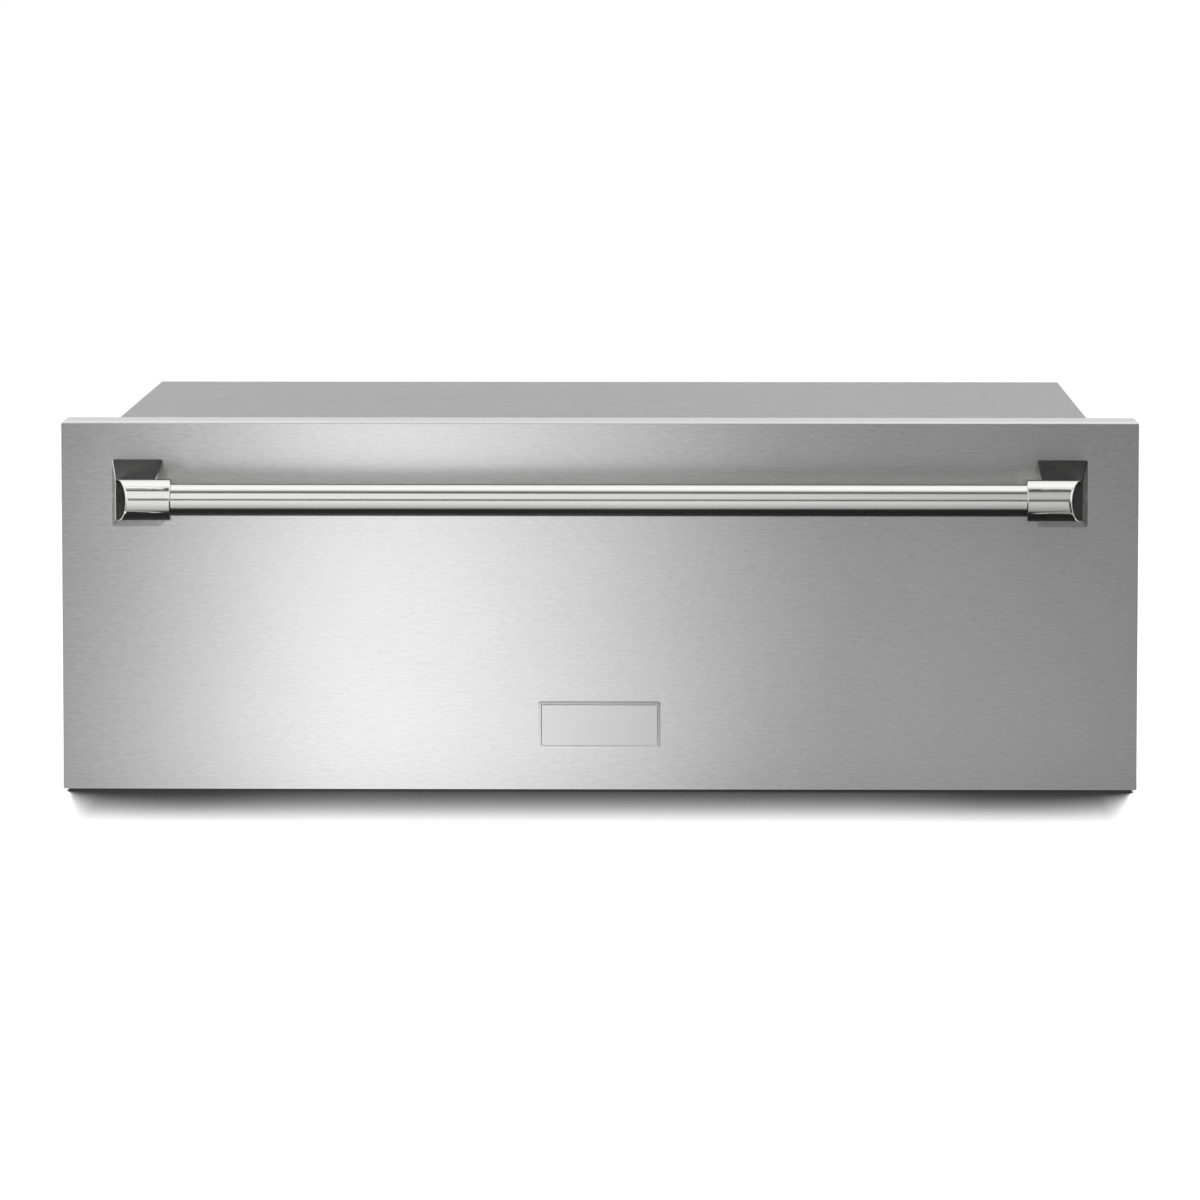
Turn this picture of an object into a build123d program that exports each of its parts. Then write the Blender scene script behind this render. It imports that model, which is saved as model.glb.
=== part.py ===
from build123d import *
import math
import os

os.makedirs("parts", exist_ok=True)

# All sizes are in millimetres. X runs to the right, Y to the back, Z up.
# The origin is the bottom centre of the closed drawer with its handle and cord gland.

# Case
case_width = 706.0
case_height = 241.0
service_depth = 86.0
sheet = 1.0
wall_flange = 12.0
cover_flange = 14.0
front_lip = 7.0
vent_length = 40.0
vent_width = 4.0
vent_pitch = 14.0
vents_across = 10
vent_bank_offset = 170.0
vent_drop = 85.0

# Drawer front and chassis frame
side_overlap = 27.0
top_overlap = 9.0
bottom_overlap = 10.0
floor_gap = 2.0
front_thickness = 25.0
skin_gauge = 1.0
skin_bend = 0.8
liner_gauge = 1.0
liner_clearance = 0.2
seal_gap = 4.0
frame_depth = 25.0
frame_gauge = 1.2
frame_bend = 0.7
mount_flange = 16.0
mount_hole_radius = 2.5
mount_hole_pitch = 160.0
mount_access_radius = 4.5
gasket_margin = 2.0
gasket_width = 5.0
gasket_clearance = 0.3

# Handle
handle_reach = 54.0
handle_drop = 50.2
bar_radius = 11.2
bar_wall = 1.6
bar_insert = 16.0
bar_clearance = 0.05
ferrule_radius = 14.5
ferrule_overhang = 10.0
bracket_inset = 36.0
bracket_width = 35.6
bracket_above = 24.2
bracket_below = 23.2
side_draft = 7.0
end_angle = 27.3
end_setback = 8.0
ferrule_chamfer = 0.5
bore_runout = 1.0
stud_radius = 5.0
stud_depth = 22.0
stud_clearance = 0.05
stud_head_radius = 8.0
stud_head_height = 4.0
stud_pocket = 1.5
set_screw_radius = 3.0
set_screw_reach = 12.0
set_screw_recess = 0.4
set_screw_socket = 1.5

# Badge plate
badge_width = 86.0
badge_height = 33.0
badge_rise = 45.8
badge_base = 1.2
badge_rim_height = 0.7
badge_rim_width = 2.2
badge_corner = 1.5

# Drawer slides
slide_length = 450.0
slide_height = 45.0
slide_depth = 12.7
slide_gauge = 1.2
slide_front_gap = 1.0
slide_rear_gap = 10.0
outer_flange = 6.5
ball_radius = 2.0
race_gap = 0.08
cage_slot = 0.8
cage_web = 0.4
cage_plate = 0.8
cage_gap = 0.3
cage_reach = 5.0
cage_length = 170.0
ball_count = 8
ball_pitch = 20.0

# Drawer
carrier_gauge = 1.2
carrier_height = 132.0
carrier_flange = 12.0
carrier_foot = 8.0
carrier_front = 18.0
pan_gauge = 0.8
pan_side_gap = 1.0
pan_front_gap = 5.0
pan_rear_gap = 14.0
pan_corner = 28.0
pan_floor_bend = 10.0
rim_width = 11.0
rim_front_gap = 0.5
rim_gap = 5.0
rack_margin = 12.0
rack_height = 22.0
rack_frame_radius = 3.0
rack_wire_radius = 1.8
rack_corner = 26.0
rack_wire_count = 21

# Heated cavity
base_blanket = 10.0
tray_lip = 8.0
cavity_clearance = 1.0
element_radius = 4.0
element_height = 9.0
element_bend = 30.0
element_margin = 45.0
element_gap = 45.0
element_runs = 4
element_tail = 24.0
element_clearance = 0.1
clip_width = 6.0
clip_length = 18.0
clip_cap = 2.5
clip_offset = 170.0
bush_radius = 7.0
bush_flange = 10.0
bush_length = 12.0
bush_flange_thickness = 3.0
pan_clearance = 6.0
probe_radius = 3.0
probe_collar = 7.0
probe_collar_thickness = 3.0
probe_offset = 120.0
probe_drop = 30.0
cutout_radius = 12.0
cutout_thickness = 9.0
cutout_plate = 1.5
cutout_tab = 10.0

# Controls
header_height = 43.0
fascia_gauge = 1.2
fascia_clearance = 0.2
overlay_width = 250.0
overlay_height = 31.0
overlay_thickness = 0.8
overlay_corner = 4.0
button_count = 4
button_pitch = 50.0
button_width = 24.0
button_height = 11.0
button_corner = 2.5
button_proud = 0.8
button_clearance = 0.25
button_lip = 2.0
button_lip_thickness = 1.5
button_travel = 1.0
button_drop = 4.0
switch_size = 6.0
switch_body = 2.5
switch_plunger = 1.6
switch_gap = 0.2
lens_radius = 1.6
lens_rise = 8.0
lens_clearance = 0.15
board_thickness = 1.6
board_setback = 8.0
board_clearance = 0.2
box_half_width = 135.0
box_depth = 70.0
box_gauge = 1.0
relay_count = 3
relay_width = 28.0
relay_height = 16.0
relay_depth = 18.0
blanket_half_width = 300.0
blanket_gap = 3.0
blanket_clearance = 0.5

# Supply
gland_offset = 250.0
gland_rise = 40.0
gland_bore = 4.6
gland_body = 9.0
gland_clearance = 0.15
gland_flange = 13.5
gland_flange_thickness = 5.0
gland_nose = 10.0
gland_projection = 12.0
gland_inside = 14.0
nut_thickness = 5.0
nut_radius = 14.0
terminal_width = 62.0
terminal_depth = 28.0
terminal_height = 24.0
terminal_offset = 180.0
terminal_ways = 3
terminal_slot = 12.0
terminal_slot_depth = 9.0
loom_radius = 3.5
loom_bend = 20.0
loom_offset = 326.0
loom_setback = 45.0
loom_clearance = 0.2

# Fasteners and feet
screw_shank = 1.9
screw_hole = 2.05
screw_head = 3.6
screw_head_height = 2.2
screw_grip = 2.0
screw_margin = 45.0
screw_recess = 0.6
foot_radius = 16.0
foot_inset = 45.0
foot_chamfer = 1.5

# Places along X, measured from the middle
cover_half = case_width / 2
wall_outer = cover_half - sheet
wall_inner = wall_outer - sheet
front_half = cover_half + side_overlap
carrier_outer = wall_inner - slide_depth
pan_half = carrier_outer - carrier_flange - pan_side_gap
cavity_half = wall_inner - wall_flange - cavity_clearance
mount_x = front_half - mount_flange / 2

# Places along Y, from the front of the handle to the end of the gland
frame_to_slide = frame_gauge + slide_front_gap
frame_to_wall = frame_to_slide + slide_length + slide_rear_gap
frame_to_back = frame_to_wall + sheet + service_depth + sheet
handle_projection = handle_reach + ferrule_radius
total_depth = handle_projection + front_thickness + seal_gap + frame_to_back + gland_projection
y_skin = handle_projection - total_depth / 2
y_bar = y_skin - handle_reach
y_liner_back = y_skin + front_thickness
y_frame = y_liner_back + seal_gap
y_case = y_frame + frame_gauge
y_frame_back = y_frame + frame_depth
y_slide = y_frame + frame_to_slide
y_slide_end = y_slide + slide_length
y_slide_mid = y_slide + slide_length / 2
y_rear_wall = y_frame + frame_to_wall
y_back = y_frame + frame_to_back
y_service_mid = y_rear_wall + sheet + service_depth / 2
y_pan = y_liner_back + pan_front_gap
y_pan_end = y_slide_end - pan_rear_gap

# Places along Z, from the floor up
foot_height = floor_gap + bottom_overlap
z_front = floor_gap
front_height = bottom_overlap + case_height + top_overlap
z_front_top = z_front + front_height
z_front_mid = z_front + front_height / 2
z_case = foot_height
z_floor = z_case + sheet
z_top = z_case + case_height
z_roof = z_top - sheet
z_bar = z_front_top - handle_drop
z_header = z_roof - header_height
z_ceiling = z_header - sheet
z_rim = z_ceiling - rim_gap
z_carrier = z_rim - pan_gauge
z_slide = z_carrier - carrier_height / 2
z_tray = z_floor + base_blanket
z_tray_top = z_tray + sheet
z_element = z_tray_top + element_height
z_pan = z_element + element_radius + pan_clearance
z_pan_floor = z_pan + pan_gauge
z_controls = z_header + header_height / 2
z_buttons = z_controls - button_drop
z_lenses = z_buttons + lens_rise + button_height / 2 - lens_radius


# Helpers
def save(piece, name):
    """Labels one finished piece and writes it to its own file."""
    piece.label = name
    export_step(piece, f"parts/{name}.step")


def block(low, high, mode=Mode.ADD):
    """A box between two opposite corners, in the part being built."""
    size = [high[i] - low[i] for i in range(3)]
    with Locations(low):
        Box(*size, align=(Align.MIN, Align.MIN, Align.MIN), mode=mode)


def front_plane(y):
    """A sketch plane at depth y that faces the front, with X across and Z up."""
    return Plane.XZ.offset(-y)


def facing(point, direction):
    """A plane at a point whose normal is the given direction."""
    return Plane(origin=point, z_dir=direction)


def drill(places, radius, depth, mode=Mode.SUBTRACT):
    """Round holes from each plane inward, against its normal."""
    with Locations(*places):
        Cylinder(radius, depth, align=(Align.CENTER, Align.CENTER, Align.MAX), mode=mode)


def strip(low, high):
    """A rectangle between two corners, in the sketch being drawn."""
    with Locations(((low[0] + high[0]) / 2, (low[1] + high[1]) / 2)):
        Rectangle(high[0] - low[0], high[1] - low[1])


def spread(count, pitch):
    """Places of a row of things about its middle."""
    return [(i - (count - 1) / 2) * pitch for i in range(count)]


def mirrored(piece):
    """The same piece on the other side of the middle plane."""
    with BuildPart() as other:
        add(mirror(piece, about=Plane.YZ, mode=Mode.PRIVATE))
    return other.part


def pan_head_screw():
    """A pan head screw with its seat at the origin and its head along Z."""
    with BuildPart() as screw:
        with BuildSketch(Plane.XZ):
            with BuildLine():
                Polyline(
                    (0, screw_head_height),
                    (0, -screw_grip),
                    (screw_shank, -screw_grip),
                    (screw_shank, 0),
                    (screw_head, 0),
                    (screw_head, screw_head_height / 3),
                )
                RadiusArc((screw_head, screw_head_height / 3), (0, screw_head_height), -2 * screw_head)
            make_face()
        revolve(axis=Axis.Z)
        with Locations((0, 0, screw_head_height)):
            Box(1.1 * screw_head, screw_recess, screw_head_height, mode=Mode.SUBTRACT)
            Box(screw_recess, 1.1 * screw_head, screw_head_height, mode=Mode.SUBTRACT)
    return screw.part


def both_sides(x, rows, direction):
    """Planes on the left and the right, facing outward for 1 and inward for -1."""
    return [facing((side * x, y, z), (side * direction, 0, 0)) for side in (-1, 1) for y, z in rows]


# Screw rows, as pairs of Y and Z
slide_rows = [(y, z_slide) for y in (y_slide + screw_margin, y_slide_mid, y_slide_end - screw_margin)]
cover_span = y_back - screw_margin - (y_frame_back + screw_margin)
cover_rows = [(y_frame_back + screw_margin + i * cover_span / 3, z_top - cover_flange / 2) for i in range(4)]
back_rows = [(y_back - sheet - wall_flange / 2, z) for z in (z_floor + screw_margin, z_roof - screw_margin)]
front_rows = [z_slide + row * (carrier_height / 2 - screw_margin / 2) for row in (-1, 0, 1)]
front_screw_x = carrier_outer - carrier_gauge - (carrier_front - carrier_gauge) / 2


# Drawer front
bracket_outer = front_half - bracket_inset
bracket_inner = bracket_outer - bracket_width
bracket_mid = (bracket_outer + bracket_inner) / 2
stud_places = [(side * bracket_mid, y_skin, z_bar) for side in (-1, 1)]

with BuildPart() as drawer_front_skin:
    block((-front_half, y_skin, z_front), (front_half, y_liner_back, z_front_top))
    fillet(drawer_front_skin.edges().filter_by(Axis.Y), skin_bend)
    fillet(drawer_front_skin.faces().sort_by(Axis.Y)[0].edges(), skin_bend)
    block(
        (-front_half + skin_gauge, y_skin + skin_gauge, z_front + skin_gauge),
        (front_half - skin_gauge, y_liner_back, z_front_top - skin_gauge),
        mode=Mode.SUBTRACT,
    )
    drill([facing(place, (0, -1, 0)) for place in stud_places], stud_radius + stud_clearance, 2 * skin_gauge)
save(drawer_front_skin.part, "drawer_front_skin")

liner_half = front_half - skin_gauge - liner_clearance
with BuildPart() as drawer_front_insulation:
    block(
        (-liner_half, y_skin + skin_gauge, z_front + skin_gauge + liner_clearance),
        (liner_half, y_liner_back - liner_gauge, z_front_top - skin_gauge - liner_clearance),
    )
    drill(
        [facing((x, y_skin + skin_gauge, z), (0, -1, 0)) for x, y, z in stud_places],
        stud_head_radius + stud_pocket,
        stud_head_height + stud_pocket,
    )
save(drawer_front_insulation.part, "drawer_front_insulation")

liner_holes = [facing((side * front_screw_x, y_liner_back, z), (0, 1, 0)) for side in (-1, 1) for z in front_rows]
with BuildPart() as drawer_front_liner:
    block(
        (-liner_half, y_liner_back - liner_gauge, z_front + skin_gauge + liner_clearance),
        (liner_half, y_liner_back, z_front_top - skin_gauge - liner_clearance),
    )
    drill(liner_holes, screw_hole, liner_gauge)
save(drawer_front_liner.part, "drawer_front_liner")

with BuildPart() as badge_plate:
    with BuildSketch(front_plane(y_skin)):
        with Locations((0, z_front + badge_rise)):
            RectangleRounded(badge_width, badge_height, badge_corner)
    extrude(amount=badge_base)
    with BuildSketch(front_plane(y_skin - badge_base)):
        with Locations((0, z_front + badge_rise)):
            RectangleRounded(badge_width, badge_height, badge_corner)
            Rectangle(badge_width - 2 * badge_rim_width, badge_height - 2 * badge_rim_width, mode=Mode.SUBTRACT)
    extrude(amount=badge_rim_height)
    chamfer(badge_plate.faces().sort_by(Axis.Y)[0].outer_wire().edges(), badge_rim_height / 2)
save(badge_plate.part, "badge_plate")


# Handle
ferrule_end = bracket_inner - ferrule_overhang
with BuildPart() as handle_bar:
    with BuildSketch(Plane.YZ):
        with Locations((y_bar, z_bar)):
            Circle(bar_radius)
            Circle(bar_radius - bar_wall, mode=Mode.SUBTRACT)
    extrude(amount=ferrule_end + bar_insert, both=True)
save(handle_bar.part, "handle_bar")


def bracket_plan():
    """The bracket's outline from above, with its drafted side and slanted end."""
    draft = math.tan(math.radians(side_draft))
    slant = math.tan(math.radians(end_angle))
    reach = (handle_reach * slant - end_setback) / (slant - draft)
    nose = handle_projection + bore_runout
    nose_x = bracket_outer - end_setback - (nose - handle_reach) * slant
    return [
        (ferrule_end, y_skin),
        (bracket_outer, y_skin),
        (bracket_outer - reach * draft, y_skin - reach),
        (nose_x, y_skin - nose),
        (ferrule_end, y_skin - nose),
    ]


side_at_screw = bracket_outer - set_screw_reach * math.tan(math.radians(side_draft))
set_screw_place = (side_at_screw, y_skin - set_screw_reach, z_bar)
stud_side = bracket_mid + stud_radius

with BuildPart() as handle_bracket_right:
    with BuildSketch(Plane.YZ.offset(bracket_inner)):
        Polygon(
            (y_skin, z_bar + bracket_above),
            (y_bar, z_bar + ferrule_radius),
            (y_bar, z_bar - ferrule_radius),
            (y_skin, z_bar - bracket_below),
            align=None,
        )
    extrude(amount=bracket_width)
    with BuildSketch(Plane.YZ.offset(ferrule_end)):
        with Locations((y_bar, z_bar)):
            Circle(ferrule_radius)
    extrude(amount=bracket_outer - ferrule_end)
    chamfer(handle_bracket_right.faces().sort_by(Axis.X)[0].edges(), ferrule_chamfer)
    with BuildSketch(Plane.XY.offset(z_bar - bracket_below - ferrule_radius)):
        Polygon(*bracket_plan(), align=None)
    extrude(amount=bracket_above + bracket_below + 2 * ferrule_radius, mode=Mode.INTERSECT)
    bar_mouth = facing((ferrule_end, y_bar, z_bar), (-1, 0, 0))
    drill([bar_mouth], bar_radius + bar_clearance, bar_insert + bore_runout)
    stud_mouth = facing((bracket_mid, y_skin, z_bar), (0, 1, 0))
    drill([stud_mouth], stud_radius + stud_clearance, stud_depth + bore_runout)
    drill(
        [facing((bracket_outer, set_screw_place[1], z_bar), (1, 0, 0))],
        set_screw_radius + stud_clearance,
        bracket_outer - bracket_mid,
    )
save(handle_bracket_right.part, "handle_bracket_right")
save(mirrored(handle_bracket_right.part), "handle_bracket_left")

with BuildPart() as handle_studs:
    inside = [facing((x, y + skin_gauge, z), (0, -1, 0)) for x, y, z in stud_places]
    drill(inside, stud_head_radius, stud_head_height, mode=Mode.ADD)
    with Locations(*inside):
        Cylinder(stud_radius, skin_gauge + stud_depth, align=(Align.CENTER, Align.CENTER, Align.MIN))
save(handle_studs.part, "handle_studs")

set_screw_length = side_at_screw - set_screw_recess - stud_side - stud_clearance
with BuildPart() as handle_set_screws:
    ends = [
        facing((side * (side_at_screw - set_screw_recess), set_screw_place[1], z_bar), (side, 0, 0))
        for side in (-1, 1)
    ]
    drill(ends, set_screw_radius, set_screw_length, mode=Mode.ADD)
    with BuildSketch(*ends):
        RegularPolygon(set_screw_socket, 6, major_radius=False)
    extrude(amount=-set_screw_length / 2, mode=Mode.SUBTRACT)
save(handle_set_screws.part, "handle_set_screws")


# Drawer body
with BuildPart() as drawer_side_left:
    block(
        (-carrier_outer, y_liner_back, z_carrier - carrier_height),
        (-carrier_outer + carrier_gauge, y_slide_end, z_carrier),
    )
    block(
        (-carrier_outer, y_liner_back, z_carrier - carrier_gauge),
        (-carrier_outer + carrier_flange, y_slide_end, z_carrier),
    )
    block(
        (-carrier_outer, y_liner_back, z_carrier - carrier_height),
        (-carrier_outer + carrier_foot, y_slide_end, z_carrier - carrier_height + carrier_gauge),
    )
    block(
        (-carrier_outer, y_liner_back, z_carrier - carrier_height),
        (-carrier_outer + carrier_front, y_liner_back + carrier_gauge, z_carrier),
    )
    drill(
        [facing((-front_screw_x, y_liner_back + carrier_gauge, z), (0, 1, 0)) for z in front_rows],
        screw_hole,
        carrier_gauge,
    )
    drill([facing((-carrier_outer, y, z), (-1, 0, 0)) for y, z in slide_rows], screw_hole, carrier_gauge)
save(drawer_side_left.part, "drawer_side_left")
save(mirrored(drawer_side_left.part), "drawer_side_right")

y_pan_mid = (y_pan + y_pan_end) / 2
pan_length = y_pan_end - y_pan
with BuildPart() as drawer_pan:
    with BuildSketch(Plane.XY.offset(z_pan)):
        with Locations((0, y_pan_mid)):
            RectangleRounded(2 * pan_half, pan_length, pan_corner)
    extrude(amount=z_rim - z_pan)
    fillet(drawer_pan.faces().sort_by(Axis.Z)[0].edges(), pan_floor_bend)
    offset(amount=-pan_gauge, openings=drawer_pan.faces().sort_by(Axis.Z)[-1])
    with BuildSketch(Plane.XY.offset(z_rim - pan_gauge)):
        strip(
            (-pan_half - rim_width, y_liner_back + rim_front_gap + carrier_gauge),
            (pan_half + rim_width, y_pan_end + rim_width),
        )
        with Locations((0, y_pan_mid)):
            RectangleRounded(
                2 * (pan_half - pan_gauge), pan_length - 2 * pan_gauge, pan_corner - pan_gauge, mode=Mode.SUBTRACT
            )
    extrude(amount=pan_gauge)
save(drawer_pan.part, "drawer_pan")

rack_half = pan_half - pan_gauge - rack_margin
rack_front = y_pan + pan_gauge + rack_margin
rack_rear = y_pan_end - pan_gauge - rack_margin
z_rack = z_pan_floor + rack_height
with BuildPart() as wire_rack:
    with BuildLine() as rack_loop:
        FilletPolyline(
            (rack_half, rack_front, z_rack),
            (rack_half, rack_rear, z_rack),
            (-rack_half, rack_rear, z_rack),
            (-rack_half, rack_front, z_rack),
            radius=rack_corner,
            close=True,
        )
    with BuildSketch(Plane(origin=rack_loop.line @ 0, z_dir=rack_loop.line % 0)):
        Circle(rack_frame_radius)
    sweep()
    wire_span = 2 * (rack_half - rack_corner)
    for x in spread(rack_wire_count, wire_span / (rack_wire_count - 1)):
        with Locations(facing((x, rack_front, z_rack + rack_frame_radius), (0, 1, 0))):
            Cylinder(rack_wire_radius, rack_rear - rack_front, align=(Align.CENTER, Align.CENTER, Align.MIN))
    for x in (-rack_half + rack_corner, rack_half - rack_corner):
        for y in (rack_front, rack_rear):
            with Locations((x, y, z_pan_floor)):
                Cylinder(rack_frame_radius, rack_height, align=(Align.CENTER, Align.CENTER, Align.MIN))
save(wire_rack.part, "wire_rack")


# Slides, drawn on the left and mirrored to the right
race = ball_radius + race_gap
outer_ball = (slide_gauge + race, slide_height / 2 - slide_gauge - race)
middle_web = slide_gauge + cage_slot
middle_top = outer_ball[1] - race
middle_lip = outer_ball[0] + race
middle_lip_top = outer_ball[1] - cage_plate / 2 - cage_gap
inner_ball = (middle_web + slide_gauge + race, middle_top - slide_gauge - race)
inner_edge = middle_web + slide_gauge + cage_slot
inner_top = inner_ball[1] - race
inner_step = inner_ball[0] + race
inner_step_top = inner_ball[1] - cage_plate / 2 - cage_gap


def slide_section(strips):
    """Strips of a slide's section, given from the case wall inward, above and below the middle."""
    for near, far, low, high in strips:
        strip((near - wall_inner, z_slide + low), (far - wall_inner, z_slide + high))
        strip((near - wall_inner, z_slide - high), (far - wall_inner, z_slide - low))


def slide_member(strips, web):
    """One slide member over the full slide length; web is the strip that joins its two edges."""
    with BuildPart() as member:
        with BuildSketch(front_plane(y_slide)):
            slide_section(strips)
            strip((web[0] - wall_inner, z_slide - web[2]), (web[1] - wall_inner, z_slide + web[2]))
        extrude(amount=-slide_length)
    return member.part


with BuildPart() as slide_outer_left:
    add(
        slide_member(
            [(0, outer_flange, slide_height / 2 - slide_gauge, slide_height / 2)],
            (0, slide_gauge, slide_height / 2),
        )
    )
    drill([facing((-wall_inner, y, z), (-1, 0, 0)) for y, z in slide_rows], screw_hole, slide_gauge)
save(slide_outer_left.part, "slide_outer_left")
save(mirrored(slide_outer_left.part), "slide_outer_right")

with BuildPart() as slide_middle_left:
    add(
        slide_member(
            [
                (middle_web, middle_lip + slide_gauge, middle_top - slide_gauge, middle_top),
                (middle_lip, middle_lip + slide_gauge, middle_top - slide_gauge, middle_lip_top),
            ],
            (middle_web, middle_web + slide_gauge, middle_top),
        )
    )
save(slide_middle_left.part, "slide_middle_left")
save(mirrored(slide_middle_left.part), "slide_middle_right")

with BuildPart() as slide_inner_left:
    add(
        slide_member(
            [
                (inner_edge, inner_step + slide_gauge, inner_top - slide_gauge, inner_top),
                (inner_step, inner_step + slide_gauge, inner_top - slide_gauge, inner_step_top),
                (inner_step, slide_depth, inner_step_top - slide_gauge, inner_step_top),
            ],
            (slide_depth - slide_gauge, slide_depth, inner_step_top),
        )
    )
    drill(
        [facing((-carrier_outer, y, z), (1, 0, 0)) for y, z in slide_rows],
        screw_hole,
        slide_gauge,
    )
save(slide_inner_left.part, "slide_inner_left")
save(mirrored(slide_inner_left.part), "slide_inner_right")


def ball_places(centre):
    """Centres of the balls of one left cage, in its upper and its lower row."""
    rows = (z_slide - centre[1], z_slide + centre[1])
    return [(centre[0] - wall_inner, y_slide_mid + y, z) for y in spread(ball_count, ball_pitch) for z in rows]


def ball_cage(centre, web):
    """A folded retainer with a round pocket for each ball; web is how far it lies from the wall."""
    with BuildPart() as cage:
        with BuildSketch(front_plane(y_slide_mid - cage_length / 2)):
            top = centre[1] + cage_plate / 2
            slide_section([(web, web + cage_reach, top - cage_plate, top)])
            strip((web - wall_inner, z_slide - top), (web + cage_web - wall_inner, z_slide + top))
        extrude(amount=-cage_length)
        with Locations(*ball_places(centre)):
            Cylinder(ball_radius + race_gap / 2, 2 * race, mode=Mode.SUBTRACT)
    return cage.part


def ball_row(centre):
    """The separate balls of one left cage."""
    with BuildPart() as balls:
        with Locations(*ball_places(centre)):
            Sphere(ball_radius)
    return balls.part


cage_side_gap = (cage_slot - cage_web) / 2
for row, centre, web in (
    ("outer", outer_ball, slide_gauge + cage_side_gap),
    ("inner", inner_ball, middle_web + slide_gauge + cage_side_gap),
):
    cage_piece = ball_cage(centre, web)
    ball_piece = ball_row(centre)
    save(cage_piece, f"slide_{row}_cage_left")
    save(mirrored(cage_piece), f"slide_{row}_cage_right")
    save(ball_piece, f"slide_{row}_balls_left")
    save(mirrored(ball_piece), f"slide_{row}_balls_right")

with BuildPart() as drawer_screws:
    seats = both_sides(carrier_outer - carrier_gauge, slide_rows, -1)
    seats += [
        facing((side * front_screw_x, y_liner_back + carrier_gauge, z), (0, 1, 0))
        for side in (-1, 1)
        for z in front_rows
    ]
    with Locations(*seats):
        add(pan_head_screw())
save(drawer_screws.part, "drawer_screws")


# Case
foot_places = [
    (x, y)
    for x in (-wall_outer + foot_inset, wall_outer - foot_inset)
    for y in (y_frame_back + foot_inset, y_back - foot_inset)
]
with BuildPart() as case_bottom:
    block((-wall_outer, y_case, z_case), (wall_outer, y_back, z_floor))
save(case_bottom.part, "case_bottom")

with BuildPart() as rubber_feet:
    with Locations(*[(x, y, 0) for x, y in foot_places]):
        Cylinder(foot_radius, foot_height, align=(Align.CENTER, Align.CENTER, Align.MIN))
    chamfer(rubber_feet.edges().filter_by(GeomType.CIRCLE).group_by(Axis.Z)[0], foot_chamfer)
save(rubber_feet.part, "rubber_feet")

with BuildPart() as case_side_left:
    block((-wall_outer, y_case, z_floor), (-wall_inner, y_back, z_roof))
    block((-wall_outer, y_case, z_floor), (-wall_inner + wall_flange, y_rear_wall, z_floor + sheet))
    block((-wall_outer - front_lip, y_case, z_floor), (-wall_inner, y_case + sheet, z_top - cover_flange))
    drill(
        [facing((-wall_outer, y, z), (-1, 0, 0)) for y, z in slide_rows + cover_rows + back_rows],
        screw_hole,
        sheet,
    )
save(case_side_left.part, "case_side_left")
save(mirrored(case_side_left.part), "case_side_right")

with BuildPart() as case_top_cover:
    block((-cover_half, y_case, z_roof), (cover_half, y_back, z_top))
    for side in (-1, 1):
        edges = sorted((side * wall_outer, side * cover_half))
        block((edges[0], y_case, z_top - cover_flange), (edges[1], y_back, z_top))
    drill(both_sides(cover_half, cover_rows, 1), screw_hole, sheet)
save(case_top_cover.part, "case_top_cover")

gland_place = (gland_offset, y_back, z_floor + gland_rise)
with BuildPart() as case_back:
    block((-wall_inner, y_back - sheet, z_floor), (wall_inner, y_back, z_roof))
    for side in (-1, 1):
        edges = sorted((side * (wall_inner - sheet), side * wall_inner))
        block((edges[0], y_back - sheet - wall_flange, z_floor), (edges[1], y_back, z_roof))
    drill(both_sides(wall_inner, back_rows, 1), screw_hole, sheet)
    drill([facing(gland_place, (0, 1, 0))], gland_body + gland_clearance, sheet)
    with BuildSketch(front_plane(y_back)):
        with Locations((-vent_bank_offset, z_roof - vent_drop), (vent_bank_offset, z_roof - vent_drop)):
            with GridLocations(vent_pitch, 1, vents_across, 1):
                SlotOverall(vent_length, vent_width, rotation=90)
    extrude(amount=sheet, mode=Mode.SUBTRACT)
save(case_back.part, "case_back")

with BuildPart() as case_screws:
    seats = both_sides(cover_half, cover_rows, 1) + both_sides(wall_outer, slide_rows + back_rows, 1)
    with Locations(*seats):
        add(pan_head_screw())
save(case_screws.part, "case_screws")

mount_rows = [(side * mount_x, z_front_mid + half * mount_hole_pitch / 2) for side in (-1, 1) for half in (-1, 1)]
with BuildPart() as front_frame:
    block((-front_half, y_frame, z_front), (front_half, y_frame_back, z_front_top))
    fillet(front_frame.edges().filter_by(Axis.Y), skin_bend)
    fillet(front_frame.faces().sort_by(Axis.Y)[0].edges(), frame_bend)
    block(
        (-front_half + mount_flange, y_frame + frame_gauge, z_front + frame_gauge),
        (front_half - mount_flange, y_frame_back, z_front_top - frame_gauge),
        mode=Mode.SUBTRACT,
    )
    block(
        (-front_half + frame_gauge, y_frame + frame_gauge, z_front + frame_gauge),
        (front_half - frame_gauge, y_frame_back - frame_gauge, z_front_top - frame_gauge),
        mode=Mode.SUBTRACT,
    )
    block((-wall_inner, y_frame, z_floor), (wall_inner, y_frame_back, z_roof), mode=Mode.SUBTRACT)
    drill([facing((x, y_frame, z), (0, -1, 0)) for x, z in mount_rows], mount_access_radius, frame_gauge)
    drill([facing((x, y_frame_back, z), (0, 1, 0)) for x, z in mount_rows], mount_hole_radius, frame_gauge)
save(front_frame.part, "front_frame")

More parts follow.
